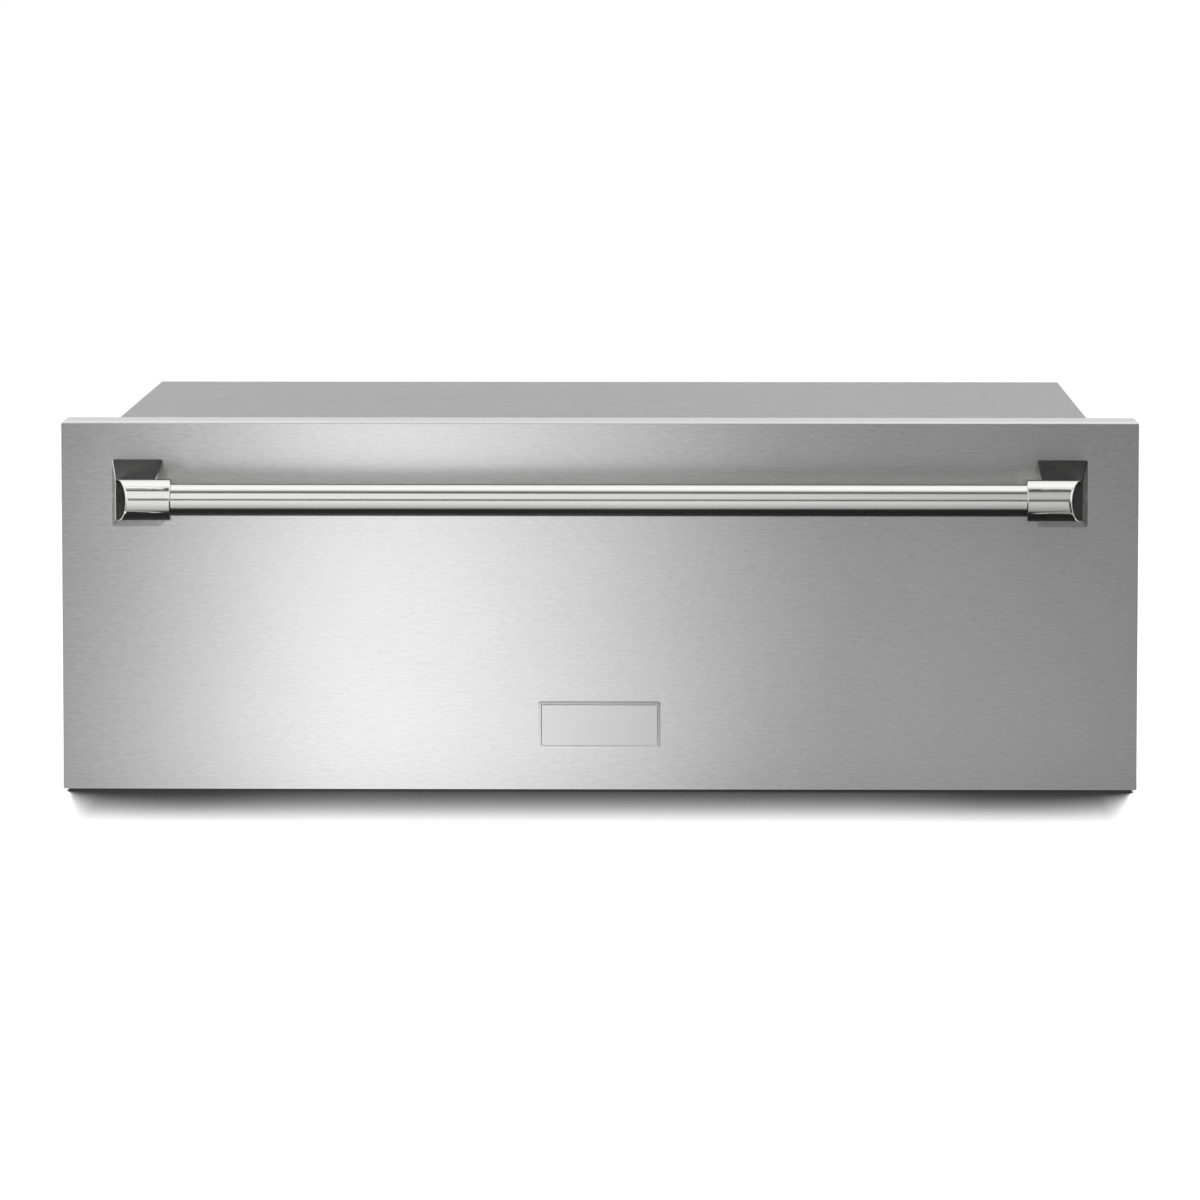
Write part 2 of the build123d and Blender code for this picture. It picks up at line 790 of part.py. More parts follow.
gasket_low = (-wall_inner - gasket_margin, z_floor - gasket_margin)
gasket_high = (wall_inner + gasket_margin, z_roof + gasket_margin)
with BuildPart() as front_gasket:
    with BuildSketch(front_plane(y_frame)):
        strip(
            (gasket_low[0] - gasket_width, gasket_low[1] - gasket_width),
            (gasket_high[0] + gasket_width, gasket_high[1] + gasket_width),
        )
        with Locations((0, (gasket_low[1] + gasket_high[1]) / 2)):
            Rectangle(2 * gasket_high[0], gasket_high[1] - gasket_low[1], mode=Mode.SUBTRACT)
    extrude(amount=seal_gap - gasket_clearance)
    fillet(front_gasket.faces().sort_by(Axis.Y)[0].edges(), gasket_width / 4)
save(front_gasket.part, "front_gasket")


# Controls behind the drawer front
button_places = [(x, z_buttons) for x in spread(button_count, button_pitch)]
lens_places = [(x, z_lenses) for x in spread(button_count, button_pitch)]
y_fascia_back = y_frame + fascia_gauge
y_overlay = y_frame - overlay_thickness
y_board = y_fascia_back + board_setback


def control_holes():
    """Openings for the keys and the lights, in the sketch being drawn."""
    with Locations(*button_places):
        RectangleRounded(
            button_width + 2 * button_clearance,
            button_height + 2 * button_clearance,
            button_corner + button_clearance,
            mode=Mode.SUBTRACT,
        )
    with Locations(*lens_places):
        Circle(lens_radius + lens_clearance, mode=Mode.SUBTRACT)


with BuildPart() as control_fascia:
    with BuildSketch(front_plane(y_frame)):
        strip(
            (-wall_inner + fascia_clearance, z_header),
            (wall_inner - fascia_clearance, z_roof - fascia_clearance),
        )
        control_holes()
    extrude(amount=-fascia_gauge)
save(control_fascia.part, "control_fascia")

with BuildPart() as control_overlay:
    with BuildSketch(front_plane(y_frame)):
        with Locations((0, z_controls)):
            RectangleRounded(overlay_width, overlay_height, overlay_corner)
        control_holes()
    extrude(amount=overlay_thickness)
save(control_overlay.part, "control_overlay")


def control_button(x):
    """A key with a lip behind the fascia that keeps it in."""
    with BuildPart() as key:
        with BuildSketch(front_plane(y_fascia_back)):
            with Locations((x, z_buttons)):
                RectangleRounded(button_width, button_height, button_corner)
        extrude(amount=fascia_gauge + overlay_thickness + button_proud)
        fillet(key.faces().sort_by(Axis.Y)[0].edges(), button_proud / 2)
        with BuildSketch(front_plane(y_fascia_back + button_clearance)):
            with Locations((x, z_buttons)):
                RectangleRounded(button_width + 2 * button_lip, button_height + 2 * button_lip, button_corner)
        extrude(amount=-button_lip_thickness)
        with BuildSketch(front_plane(y_fascia_back)):
            with Locations((x, z_buttons)):
                RectangleRounded(button_width, button_height, button_corner)
        extrude(amount=-button_clearance)
    return key.part


for name, place in zip(("power", "low", "medium", "high"), button_places):
    save(control_button(place[0]), f"button_{name}")

with BuildPart() as indicator_lenses:
    with Locations(*[facing((x, y_board, z), (0, -1, 0)) for x, z in lens_places]):
        Cylinder(
            lens_radius,
            board_setback + fascia_gauge + overlay_thickness,
            align=(Align.CENTER, Align.CENTER, Align.MIN),
        )
save(indicator_lenses.part, "indicator_lenses")

y_switch = y_fascia_back + button_clearance + button_lip_thickness + button_travel + switch_gap
with BuildPart() as control_board:
    block(
        (
            -box_half_width + box_gauge + board_clearance,
            y_board,
            z_header + box_gauge + board_clearance,
        ),
        (
            box_half_width - box_gauge - board_clearance,
            y_board + board_thickness,
            z_roof - 2 * box_gauge - board_clearance,
        ),
    )
    with Locations(*[facing((x, y_board, z), (0, -1, 0)) for x, z in button_places]):
        Box(switch_size, switch_size, switch_body, align=(Align.CENTER, Align.CENTER, Align.MIN))
        Cylinder(switch_plunger, y_board - y_switch, align=(Align.CENTER, Align.CENTER, Align.MIN))
    with Locations(*[(x, y_board + board_thickness, z_controls) for x in spread(relay_count, 2 * relay_width)]):
        Box(relay_width, relay_depth, relay_height, align=(Align.CENTER, Align.MIN, Align.CENTER))
save(control_board.part, "control_board")

y_loom = y_fascia_back + loom_setback
z_loom = z_header + loom_radius + loom_clearance
with BuildPart() as control_box:
    block(
        (-box_half_width, y_fascia_back, z_header),
        (box_half_width, y_fascia_back + box_depth, z_roof - box_gauge),
    )
    block(
        (-box_half_width + box_gauge, y_fascia_back, z_header + box_gauge),
        (box_half_width - box_gauge, y_fascia_back + box_depth - box_gauge, z_roof - 2 * box_gauge),
        mode=Mode.SUBTRACT,
    )
    drill(
        [facing((box_half_width, y_loom, z_loom + box_gauge), (1, 0, 0))],
        loom_radius + loom_clearance,
        box_gauge,
    )
save(control_box.part, "control_box")


# Heated cavity
with BuildPart() as cavity_ceiling:
    block((-wall_inner, y_frame, z_ceiling), (wall_inner, y_rear_wall + sheet, z_header))
save(cavity_ceiling.part, "cavity_ceiling")

element_half = cavity_half - element_margin
bush_places = [(side * element_gap, z_element) for side in (-1, 1)]
probe_place = (probe_offset, z_ceiling - probe_drop)
cutout_place = (-probe_offset, z_ceiling - probe_drop)
with BuildPart() as cavity_rear_wall:
    block((-wall_inner, y_rear_wall, z_floor + sheet), (wall_inner, y_rear_wall + sheet, z_ceiling))
    drill(
        [facing((x, y_rear_wall, z), (0, -1, 0)) for x, z in bush_places],
        bush_radius + element_clearance,
        sheet,
    )
    probe_hole = facing((probe_place[0], y_rear_wall, probe_place[1]), (0, -1, 0))
    drill([probe_hole], probe_radius + element_clearance, sheet)
save(cavity_rear_wall.part, "cavity_rear_wall")

with BuildPart() as top_insulation:
    block(
        (-blanket_half_width, y_fascia_back + box_depth + blanket_gap, z_header),
        (blanket_half_width, y_rear_wall, z_roof - blanket_clearance),
    )
save(top_insulation.part, "top_insulation")

with BuildPart() as base_insulation:
    block((-cavity_half, y_case + 2 * sheet, z_floor), (cavity_half, y_rear_wall, z_tray))
save(base_insulation.part, "base_insulation")

with BuildPart() as reflector_tray:
    block((-cavity_half, y_case + sheet, z_tray), (cavity_half, y_rear_wall, z_tray_top))
    block((-cavity_half, y_case + sheet, z_floor), (cavity_half, y_case + 2 * sheet, z_tray_top))
    for side in (-1, 1):
        edges = sorted((side * (cavity_half - sheet), side * cavity_half))
        block((edges[0], y_case + sheet, z_tray), (edges[1], y_rear_wall, z_tray_top + tray_lip))
save(reflector_tray.part, "reflector_tray")

# The element is one tube, bent to and fro on each side and joined along the front
run_front = y_case + element_margin
run_rear = y_rear_wall - element_margin
run_pitch = (run_rear - run_front) / (element_runs - 1)
run_rows = [run_rear - i * run_pitch for i in range(element_runs)]
y_element_end = y_rear_wall + sheet + element_tail


def element_half_path(side):
    """Corner points of one half of the element, from its rear end to the front run."""
    near = side * element_gap
    far = side * element_half
    points = [(near, y_element_end, z_element)]
    for i, y in enumerate(run_rows):
        order = (near, far) if i % 2 == 0 else (far, near)
        points += [(x, y, z_element) for x in order]
    return points[:-1] if element_runs % 2 == 0 else points


with BuildPart() as heating_element:
    with BuildLine() as element_path:
        FilletPolyline(*element_half_path(1), *reversed(element_half_path(-1)), radius=element_bend)
    with BuildSketch(Plane(origin=element_path.line @ 0, z_dir=element_path.line % 0)):
        Circle(element_radius)
    sweep()
save(heating_element.part, "heating_element")

clip_places = [(x, y) for x in (-clip_offset, clip_offset) for y in run_rows]
with BuildPart() as element_clips:
    with Locations(*[(x, y, z_tray_top) for x, y in clip_places]):
        Box(
            clip_width,
            clip_length,
            element_height + element_radius + clip_cap,
            align=(Align.CENTER, Align.CENTER, Align.MIN),
        )
    fillet(element_clips.edges().filter_by(Axis.X).group_by(Axis.Z)[-1], clip_cap)
    with Locations(*[facing((x, y, z_element), (1, 0, 0)) for x, y in clip_places]):
        Cylinder(element_radius + element_clearance, 2 * clip_width, mode=Mode.SUBTRACT)
save(element_clips.part, "element_clips")

with BuildPart() as element_bushes:
    outlets = [facing((x, y_rear_wall + sheet, z), (0, 1, 0)) for x, z in bush_places]
    with Locations(*outlets):
        Cylinder(bush_flange, bush_flange_thickness, align=(Align.CENTER, Align.CENTER, Align.MIN))
        Cylinder(bush_radius, bush_length, align=(Align.CENTER, Align.CENTER, Align.MIN))
    drill(outlets, bush_radius, bush_flange_thickness, mode=Mode.ADD)
    with Locations(*outlets):
        Cylinder(element_radius + element_clearance, 4 * bush_length, mode=Mode.SUBTRACT)
save(element_bushes.part, "element_bushes")

with BuildPart() as temperature_probe:
    probe_plane = facing((probe_place[0], y_rear_wall + sheet, probe_place[1]), (0, 1, 0))
    with Locations(probe_plane):
        Cylinder(probe_collar, probe_collar_thickness, align=(Align.CENTER, Align.CENTER, Align.MIN))
        Cylinder(probe_radius, 4 * probe_collar_thickness, align=(Align.CENTER, Align.CENTER, Align.MIN))
    drill([probe_plane], probe_radius, sheet + slide_rear_gap / 2, mode=Mode.ADD)
save(temperature_probe.part, "temperature_probe")

with BuildPart() as thermal_cutout:
    with Locations(facing((cutout_place[0], y_rear_wall + sheet, cutout_place[1]), (0, 1, 0))):
        Box(4 * cutout_radius, 1.5 * cutout_radius, cutout_plate, align=(Align.CENTER, Align.CENTER, Align.MIN))
        Cylinder(cutout_radius, cutout_thickness, align=(Align.CENTER, Align.CENTER, Align.MIN))
        with Locations((-cutout_radius / 2, 0, cutout_thickness), (cutout_radius / 2, 0, cutout_thickness)):
            Box(sheet, cutout_radius / 2, cutout_tab, align=(Align.CENTER, Align.CENTER, Align.MIN))
save(thermal_cutout.part, "thermal_cutout")


# Supply
terminal_step = terminal_width / terminal_ways
with BuildPart() as terminal_block:
    with Locations((terminal_offset, y_service_mid, z_floor)):
        Box(
            terminal_width,
            terminal_depth,
            terminal_height,
            align=(Align.CENTER, Align.CENTER, Align.MIN),
        )
    terminal_places = [terminal_offset + x for x in spread(terminal_ways, terminal_step)]
    with Locations(*[(x, y_service_mid, z_floor + terminal_height) for x in terminal_places]):
        Box(
            terminal_slot,
            terminal_depth,
            terminal_slot_depth,
            align=(Align.CENTER, Align.CENTER, Align.MAX),
            mode=Mode.SUBTRACT,
        )
save(terminal_block.part, "terminal_block")

loom_end_x = terminal_offset + terminal_step
z_loom_end = z_floor + terminal_height - terminal_slot_depth + loom_clearance
with BuildPart() as wiring_loom:
    with BuildLine() as loom_path:
        FilletPolyline(
            (box_half_width - 3 * box_gauge, y_loom, z_loom + box_gauge),
            (loom_offset, y_loom, z_loom + box_gauge),
            (loom_offset, y_service_mid, z_loom + box_gauge),
            (loom_end_x, y_service_mid, z_loom + box_gauge),
            (loom_end_x, y_service_mid, z_loom_end),
            radius=loom_bend,
        )
    with BuildSketch(Plane(origin=loom_path.line @ 0, z_dir=loom_path.line % 0)):
        Circle(loom_radius)
    sweep()
save(wiring_loom.part, "wiring_loom")

gland_axis = Axis(gland_place, (0, 1, 0))
with BuildPart() as cord_gland:
    with BuildSketch(Plane.XY.offset(gland_place[2])):
        Polygon(
            (gland_offset + gland_bore, y_back - sheet - gland_inside),
            (gland_offset + gland_body, y_back - sheet - gland_inside),
            (gland_offset + gland_body, y_back),
            (gland_offset + gland_flange, y_back),
            (gland_offset + gland_flange, y_back + gland_flange_thickness),
            (gland_offset + gland_nose, y_back + gland_projection),
            (gland_offset + gland_bore, y_back + gland_projection),
            align=None,
        )
    revolve(axis=gland_axis)
save(cord_gland.part, "cord_gland")

with BuildPart() as gland_nut:
    with BuildSketch(front_plane(y_back - sheet)):
        with Locations((gland_place[0], gland_place[2])):
            RegularPolygon(nut_radius, 6)
            Circle(gland_body + gland_clearance, mode=Mode.SUBTRACT)
    extrude(amount=nut_thickness)
save(gland_nut.part, "gland_nut")
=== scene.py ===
"""Looks of the warming drawer: finishes, eased edges, studio light and camera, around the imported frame."""

import math

import bmesh
import bpy
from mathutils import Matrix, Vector


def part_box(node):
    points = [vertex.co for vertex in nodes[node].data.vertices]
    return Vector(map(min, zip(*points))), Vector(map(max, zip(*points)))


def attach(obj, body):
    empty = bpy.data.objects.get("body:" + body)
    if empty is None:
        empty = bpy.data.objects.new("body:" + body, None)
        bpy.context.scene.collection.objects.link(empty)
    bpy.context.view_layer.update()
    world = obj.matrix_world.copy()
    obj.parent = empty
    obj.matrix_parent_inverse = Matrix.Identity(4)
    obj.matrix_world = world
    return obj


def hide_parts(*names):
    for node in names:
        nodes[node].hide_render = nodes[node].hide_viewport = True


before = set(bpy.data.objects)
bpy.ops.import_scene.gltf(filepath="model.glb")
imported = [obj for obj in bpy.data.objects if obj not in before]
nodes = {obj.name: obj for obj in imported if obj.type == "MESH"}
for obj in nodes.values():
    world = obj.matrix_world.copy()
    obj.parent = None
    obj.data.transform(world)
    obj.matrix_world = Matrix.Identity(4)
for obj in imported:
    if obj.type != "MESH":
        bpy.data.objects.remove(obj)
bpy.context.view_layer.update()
scene = bpy.context.scene

# Places read from the frame, in metres. X runs to the right, Y to the back, Z up.
skin_low, skin_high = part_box("drawer_front_skin")
bar_low, bar_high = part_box("handle_bar")
bracket_low, bracket_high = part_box("handle_bracket_right")
badge_low, badge_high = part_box("badge_plate")
front_y = skin_low.y
front_middle = (skin_low + skin_high) / 2
bar_centre = (bar_low + bar_high) / 2
bar_radius = (bar_high.z - bar_low.z) / 2

# Camera, measured from the middle of the drawer front
CAMERA_SIDE = 0.0644
CAMERA_DISTANCE = 4.817
CAMERA_RISE = 0.4754
CAMERA_PITCH = math.radians(5.58)
CAMERA_YAW = math.radians(-0.762)
CAMERA_LENS = 205.6
CAMERA_SENSOR = 36.0

# Light, and the floor's painted shadow: how far an edge darkens the floor, and how deeply, from place to
# place
AMBIENT = 0.45
FLOOR_SIZE = 200.0
FLOOR_SHADE = 0.8
FLOOR_GLOW = 0.55
SHADOW_SAMPLES = 16
SHADOW_REACH = 0.21
SHADOW_REACH_BEHIND = 0.03
SHADOW_REACH_BESIDE = 0.002
SHADOW_POWER = 3.6
SHADOW_POWER_END = 5.5
SHADOW_POWER_FAR = 1.4
SHADOW_NEAR = 0.17
SHADOW_FAR = 0.32
SHADOW_DEEPEST = 0.045
# Where those change: (start, end) before or behind the frame, and inward from the ends of the front
SHADOW_AHEAD = (-0.005, 0.01)
SHADOW_INSIDE = (0.03, 0.002)
SHADOW_BESIDE = (0.012, 0.004)
SHADOW_STEP = 0.005
CARD_DISTANCE = 8.0
TOP_LIGHT_RISE = 1.6
TOP_LIGHT_SIZE = (3.0, 2.2)
TOP_LIGHT_RADIANCE = 1.2
TOP_LIGHT_BEHIND = 0.51

# Mesh work
WELD = 1e-6
FLAT_ANGLE = math.radians(0.5)
SHARP_ANGLE = math.radians(35)
TUBE_SEGMENTS = 128


# Shader helpers
def feed(tree, socket, value):
    """Links a socket to another one, or sets its value."""
    if isinstance(value, bpy.types.NodeSocket):
        tree.links.new(value, socket)
    else:
        socket.default_value = value


def add(tree, kind, settings=None, **inputs):
    """Adds a shader node. Inputs are named with _ for a space.

    Inputs that share a name go in a list called values, in their order.
    """
    made = tree.nodes.new("ShaderNode" + kind)
    for key, value in (settings or {}).items():
        setattr(made, key, value)
    for index, value in enumerate(inputs.pop("values", [])):
        feed(tree, made.inputs[index], value)
    for key, value in inputs.items():
        feed(tree, made.inputs[key.replace("_", " ")], value)
    return made


def calculate(tree, operation, *values):
    """One step of arithmetic on sockets or numbers."""
    return add(tree, "Math", {"operation": operation}, values=list(values)).outputs[0]


def blend(tree, one, other, share):
    """Two noise values added, by one's share of the whole."""
    parts = [calculate(tree, "MULTIPLY", one, share), calculate(tree, "MULTIPLY", other, 1.0 - share)]
    return calculate(tree, "ADD", *parts)


# Noise values mostly lie in this range
NOISE_LOW, NOISE_HIGH = 0.25, 0.75


def between(tree, value, low, high):
    """A noise value spread from low to high."""
    made = add(tree, "MapRange", {"clamp": True}, Value=value, To_Min=low, To_Max=high)
    made.inputs["From Min"].default_value = NOISE_LOW
    made.inputs["From Max"].default_value = NOISE_HIGH
    return made.outputs[0]


def noise(tree, grain, detail=4.0, rough=0.55):
    """Noise in the piece's own coordinates. grain is how many features lie in a metre along X, Y and Z."""
    place = add(tree, "TexCoord").outputs["Object"]
    mapped = add(tree, "Mapping", Vector=place, Scale=grain).outputs[0]
    return add(tree, "TexNoise", Vector=mapped, Scale=1.0, Detail=detail, Roughness=rough).outputs[0]


def ramp(tree, value, stops):
    """A curve of grey values through (place, value) stops."""
    made = add(tree, "ValToRGB", Fac=value)
    made.color_ramp.interpolation = "EASE"
    elements = made.color_ramp.elements
    while len(elements) < len(stops):
        elements.new(0.5)
    for element, (place, level) in zip(elements, stops):
        element.position = place
        element.color = (level, level, level, 1.0)
    return made.outputs[0]


def tint(tree, value, colour, dark, light):
    """The colour, from dark to light times its own brightness, by a noise value."""
    made = add(tree, "Mix", {"data_type": "RGBA"}, Factor=between(tree, value, 0.0, 1.0))
    made.inputs[6].default_value = (*[dark * c for c in colour], 1.0)
    made.inputs[7].default_value = (*[min(light * c, 1.0) for c in colour], 1.0)
    return made.outputs[2]


def new_material(name):
    """An empty node material and its principled shader."""
    material = bpy.data.materials.new(name)
    material.use_nodes = True
    tree = material.node_tree
    return material, tree, tree.nodes["Principled BSDF"]


def gloss(tree, shader, value, roughness, uneven):
    """A roughness that varies evenly about its middle, by a noise value."""
    feed(tree, shader.inputs["Roughness"], between(tree, value, roughness - uneven, roughness + uneven))


def shape(tree, shader, height, strength, depth):
    """A bump from a height, depth metres deep."""
    bump = add(tree, "Bump", Height=height, Strength=strength, Distance=depth)
    tree.links.new(bump.outputs[0], shader.inputs["Normal"])


# Finishes. Grains are in features for each metre, depths of bumps in metres.
EDGE_TINT = (0.8, 0.8, 0.8)
ZINC_EDGE_TINT = (0.45, 0.45, 0.45)
FINE_SHARE = 0.7
METAL_CLOUD = (7.0, 7.0, 7.0)
METAL_DEPTH = 0.00004
ZINC_CLOUD = (5.0, 5.0, 5.0)
ZINC_UNEVEN = 0.025
ZINC_DEPTH = 0.00003
SKIN_CLOUD = (14.0, 14.0, 14.0)
SKIN_UNEVEN = 0.05
QUARTER_TURN = 0.25


def metal(name, shade, roughness, grain, contrast=0.04, uneven=0.05, bump=0.08, brushed=0.0):
    """A metal with streaks or cloud in its colour and gloss.

    brushed is how far its reflections are drawn out across the grain.
    """
    material, tree, shader = new_material(name)
    colour = shade if isinstance(shade, tuple) else (shade, shade, shade)
    fine = noise(tree, grain, 5.0, 0.6)
    mixed = blend(tree, fine, noise(tree, METAL_CLOUD, 2.0), FINE_SHARE)
    feed(tree, shader.inputs["Base Color"], tint(tree, mixed, colour, 1.0 - contrast, 1.0 + contrast))
    gloss(tree, shader, mixed, roughness, uneven)
    shader.inputs["Metallic"].default_value = 1.0
    shader.inputs["Specular Tint"].default_value = (*EDGE_TINT, 1.0)
    shape(tree, shader, fine, bump, METAL_DEPTH)
    if brushed:
        tangent = add(tree, "Tangent", {"direction_type": "RADIAL", "axis": "Z"})
        tree.links.new(tangent.outputs[0], shader.inputs["Tangent"])
        shader.inputs["Anisotropic"].default_value = brushed
        shader.inputs["Anisotropic Rotation"].default_value = QUARTER_TURN
    return material


def galvanised(name, shade, roughness, flake, contrast=0.07, bump=0.015):
    """Zinc coated sheet: crystals about flake metres across that differ a little in tone and gloss."""
    material, tree, shader = new_material(name)
    place = add(tree, "TexCoord").outputs["Object"]
    cells = add(tree, "TexVoronoi", Vector=place, Scale=1.0 / flake)
    level = add(tree, "SeparateColor", Color=cells.outputs["Color"]).outputs[0]
    mixed = blend(tree, level, noise(tree, ZINC_CLOUD, 3.0), FINE_SHARE)
    feed(tree, shader.inputs["Base Color"], tint(tree, mixed, shade, 1.0 - contrast, 1.0 + contrast))
    gloss(tree, shader, mixed, roughness, ZINC_UNEVEN)
    shader.inputs["Metallic"].default_value = 1.0
    shader.inputs["Specular Tint"].default_value = (*ZINC_EDGE_TINT, 1.0)
    shape(tree, shader, level, bump, ZINC_DEPTH)
    return material


def moulded(name, colour, roughness, grain=2500.0, contrast=0.1, bump=0.15, depth=0.00005, coat=0.0):
    """A plastic, rubber or ceramic with a fine skin texture."""
    material, tree, shader = new_material(name)
    fine = noise(tree, (grain, grain, grain), 3.0)
    broad = noise(tree, SKIN_CLOUD, 2.0)
    feed(tree, shader.inputs["Base Color"], tint(tree, broad, colour, 1.0 - contrast, 1.0 + contrast))
    gloss(tree, shader, fine, roughness, SKIN_UNEVEN)
    shader.inputs["Coat Weight"].default_value = coat
    shape(tree, shader, fine, bump, depth)
    return material


WOOL_STRANDS = (160.0, 700.0, 700.0)
WOOL_CLUMPS = (60.0, 60.0, 60.0)
WOOL_DEPTH = 0.0008
STRAND_SHARE = 0.6


def fibre(name, colour):
    """Pressed mineral wool: matted fibres with darker pits."""
    material, tree, shader = new_material(name)
    strands = noise(tree, WOOL_STRANDS, 6.0, 0.7)
    mixed = blend(tree, strands, noise(tree, WOOL_CLUMPS, 3.0), STRAND_SHARE)
    feed(tree, shader.inputs["Base Color"], tint(tree, mixed, colour, 0.7, 1.15))
    feed(tree, shader.inputs["Roughness"], between(tree, strands, 0.88, 1.0))
    shader.inputs["Sheen Weight"].default_value = 0.2
    shape(tree, shader, mixed, 0.6, WOOL_DEPTH)
    return material


TRACK_PITCH = 260.0
TRACK_WIDTH = 0.05
TRACK_DEPTH = 0.00003


def circuit(name, colour, track):
    """A lacquered board with lighter copper tracks under the lacquer."""
    material, tree, shader = new_material(name)
    place = add(tree, "TexCoord").outputs["Object"]
    bond = {"offset": 0.37, "squash": 0.7}
    brick = add(tree, "TexBrick", bond, Vector=place, Scale=TRACK_PITCH, Mortar_Size=TRACK_WIDTH)
    brick.inputs["Color1"].default_value = (*colour, 1.0)
    brick.inputs["Color2"].default_value = (*[0.8 * c for c in colour], 1.0)
    brick.inputs["Mortar"].default_value = (*track, 1.0)
    feed(tree, shader.inputs["Base Color"], brick.outputs["Color"])
    feed(tree, shader.inputs["Roughness"], between(tree, brick.outputs["Fac"], 0.3, 0.45))
    shape(tree, shader, brick.outputs["Fac"], 0.2, TRACK_DEPTH)
    return material


BRAID_SLANT = 0.8
BRAID_PITCH = 220.0
BRAID_DEPTH = 0.0003


def braided(name, colour):
    """A woven sleeve: two sets of slanting threads."""
    material, tree, shader = new_material(name)
    place = add(tree, "TexCoord").outputs["Object"]
    threads = []
    for slant in (-BRAID_SLANT, BRAID_SLANT):
        turned = add(tree, "Mapping", Vector=place, Rotation=(slant, slant, slant)).outputs[0]
        wave = add(tree, "TexWave", Vector=turned, Scale=BRAID_PITCH, Distortion=0.4)
        threads.append(wave.outputs["Fac"])
    weave = calculate(tree, "MAXIMUM", *threads)
    feed(tree, shader.inputs["Base Color"], tint(tree, weave, colour, 0.5, 1.6))
    feed(tree, shader.inputs["Roughness"], between(tree, weave, 0.55, 0.8))
    shape(tree, shader, weave, 0.5, BRAID_DEPTH)
    return material


# Materials, one for each slot of the imported frame
ALONG_X = (6.0, 1500.0, 1500.0)
ALONG_Y = (1500.0, 6.0, 1500.0)
BRUSHED = (170.0, 900.0, 900.0)
EVEN = (300.0, 300.0, 300.0)
finishes = {
    "front_steel": metal("front_steel", 0.76, 0.195, BRUSHED, 0.11, 0.02, 0.03, brushed=0.85),
    "polished_steel": metal("polished_steel", (0.88, 0.88, 0.866), 0.18, ALONG_X, 0.02, 0.03, 0.04),
    "badge_metal": metal("badge_metal", 0.79, 0.24, BRUSHED, 0.04, 0.015, 0.02, brushed=0.85),
    "frame_steel": metal("frame_steel", 0.72, 0.3, ALONG_X, 0.03, 0.04, 0.06, brushed=0.7),
    "liner_steel": metal("liner_steel", 0.62, 0.34, ALONG_X, 0.04, 0.06, 0.06, brushed=0.5),
    "pan_steel": metal("pan_steel", 0.74, 0.33, ALONG_Y, 0.04, 0.05, 0.05),
    "rack_wire": metal("rack_wire", 0.74, 0.14, EVEN, 0.03, 0.04, 0.05),
    "case_steel": galvanised("case_steel", (0.57, 0.57, 0.57), 0.5, 0.006, 0.035),
    "zinc_steel": metal("zinc_steel", (0.6, 0.62, 0.64), 0.28, ALONG_Y, 0.05, 0.06, 0.08),
    "cage_steel": metal("cage_steel", (0.56, 0.53, 0.46), 0.34, EVEN, 0.06, 0.06, 0.1),
    "ball_steel": metal("ball_steel", 0.8, 0.08, EVEN, 0.02, 0.02, 0.0),
    "screw_steel": metal("screw_steel", 0.6, 0.26, EVEN, 0.06, 0.06, 0.1),
    "dark_steel": metal("dark_steel", 0.09, 0.36, EVEN, 0.1, 0.06, 0.1),
    "insulation": fibre("insulation", (0.66, 0.6, 0.45)),
    "reflector": galvanised("reflector", (0.7, 0.7, 0.69), 0.26, 0.006),
    "element_sheath": metal("element_sheath", (0.26, 0.23, 0.21), 0.45, EVEN, 0.12, 0.08, 0.2),
    "ceramic": moulded("ceramic", (0.8, 0.77, 0.71), 0.3, 1200.0, 0.04, 0.1, coat=0.3),
    "terminal_cream": moulded("terminal_cream", (0.72, 0.67, 0.54), 0.42, 2500.0, 0.06),
    "gasket": moulded("gasket", (0.06, 0.06, 0.06), 0.6, 1800.0, 0.15, 0.25),
    "rubber": moulded("rubber", (0.03, 0.03, 0.03), 0.7, 1500.0, 0.2, 0.3),
    "overlay_black": moulded("overlay_black", (0.012, 0.012, 0.013), 0.22, 3000.0, 0.1, 0.05, coat=0.5),
    "button_grey": moulded("button_grey", (0.2, 0.2, 0.21), 0.42, 3000.0, 0.08, 0.12),
    "lens_amber": moulded("lens_amber", (0.8, 0.36, 0.05), 0.16, 900.0, 0.1, 0.04, coat=0.6),
    "board_green": circuit("board_green", (0.02, 0.15, 0.07), (0.07, 0.3, 0.13)),
    "loom_black": braided("loom_black", (0.02, 0.02, 0.022)),
    "gland_black": moulded("gland_black", (0.03, 0.03, 0.032), 0.45, 2500.0, 0.15, 0.2),
}
print_white = moulded("print_white", (0.78, 0.78, 0.76), 0.5, 4000.0, 0.06, 0.1)
slot_of = {name: piece.material_slots[0].material.name for name, piece in nodes.items()}
for name, piece in nodes.items():
    piece.material_slots[0].material = finishes[slot_of[name]]


# Pieces that stand for CAD nodes
def place_piece(name, mesh, body, *replaced):
    """Puts a finished mesh in the scene in place of CAD nodes, on their body and with their finish."""
    piece = bpy.data.objects.new(name, mesh)
    scene.collection.objects.link(piece)
    slot = slot_of[replaced[0]]
    mesh.materials.append(finishes[slot])
    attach(piece, body)
    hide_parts(*replaced)
    return piece


def everywhere(middle):
    """The full rounding, wherever an edge's middle is."""
    return 1.0


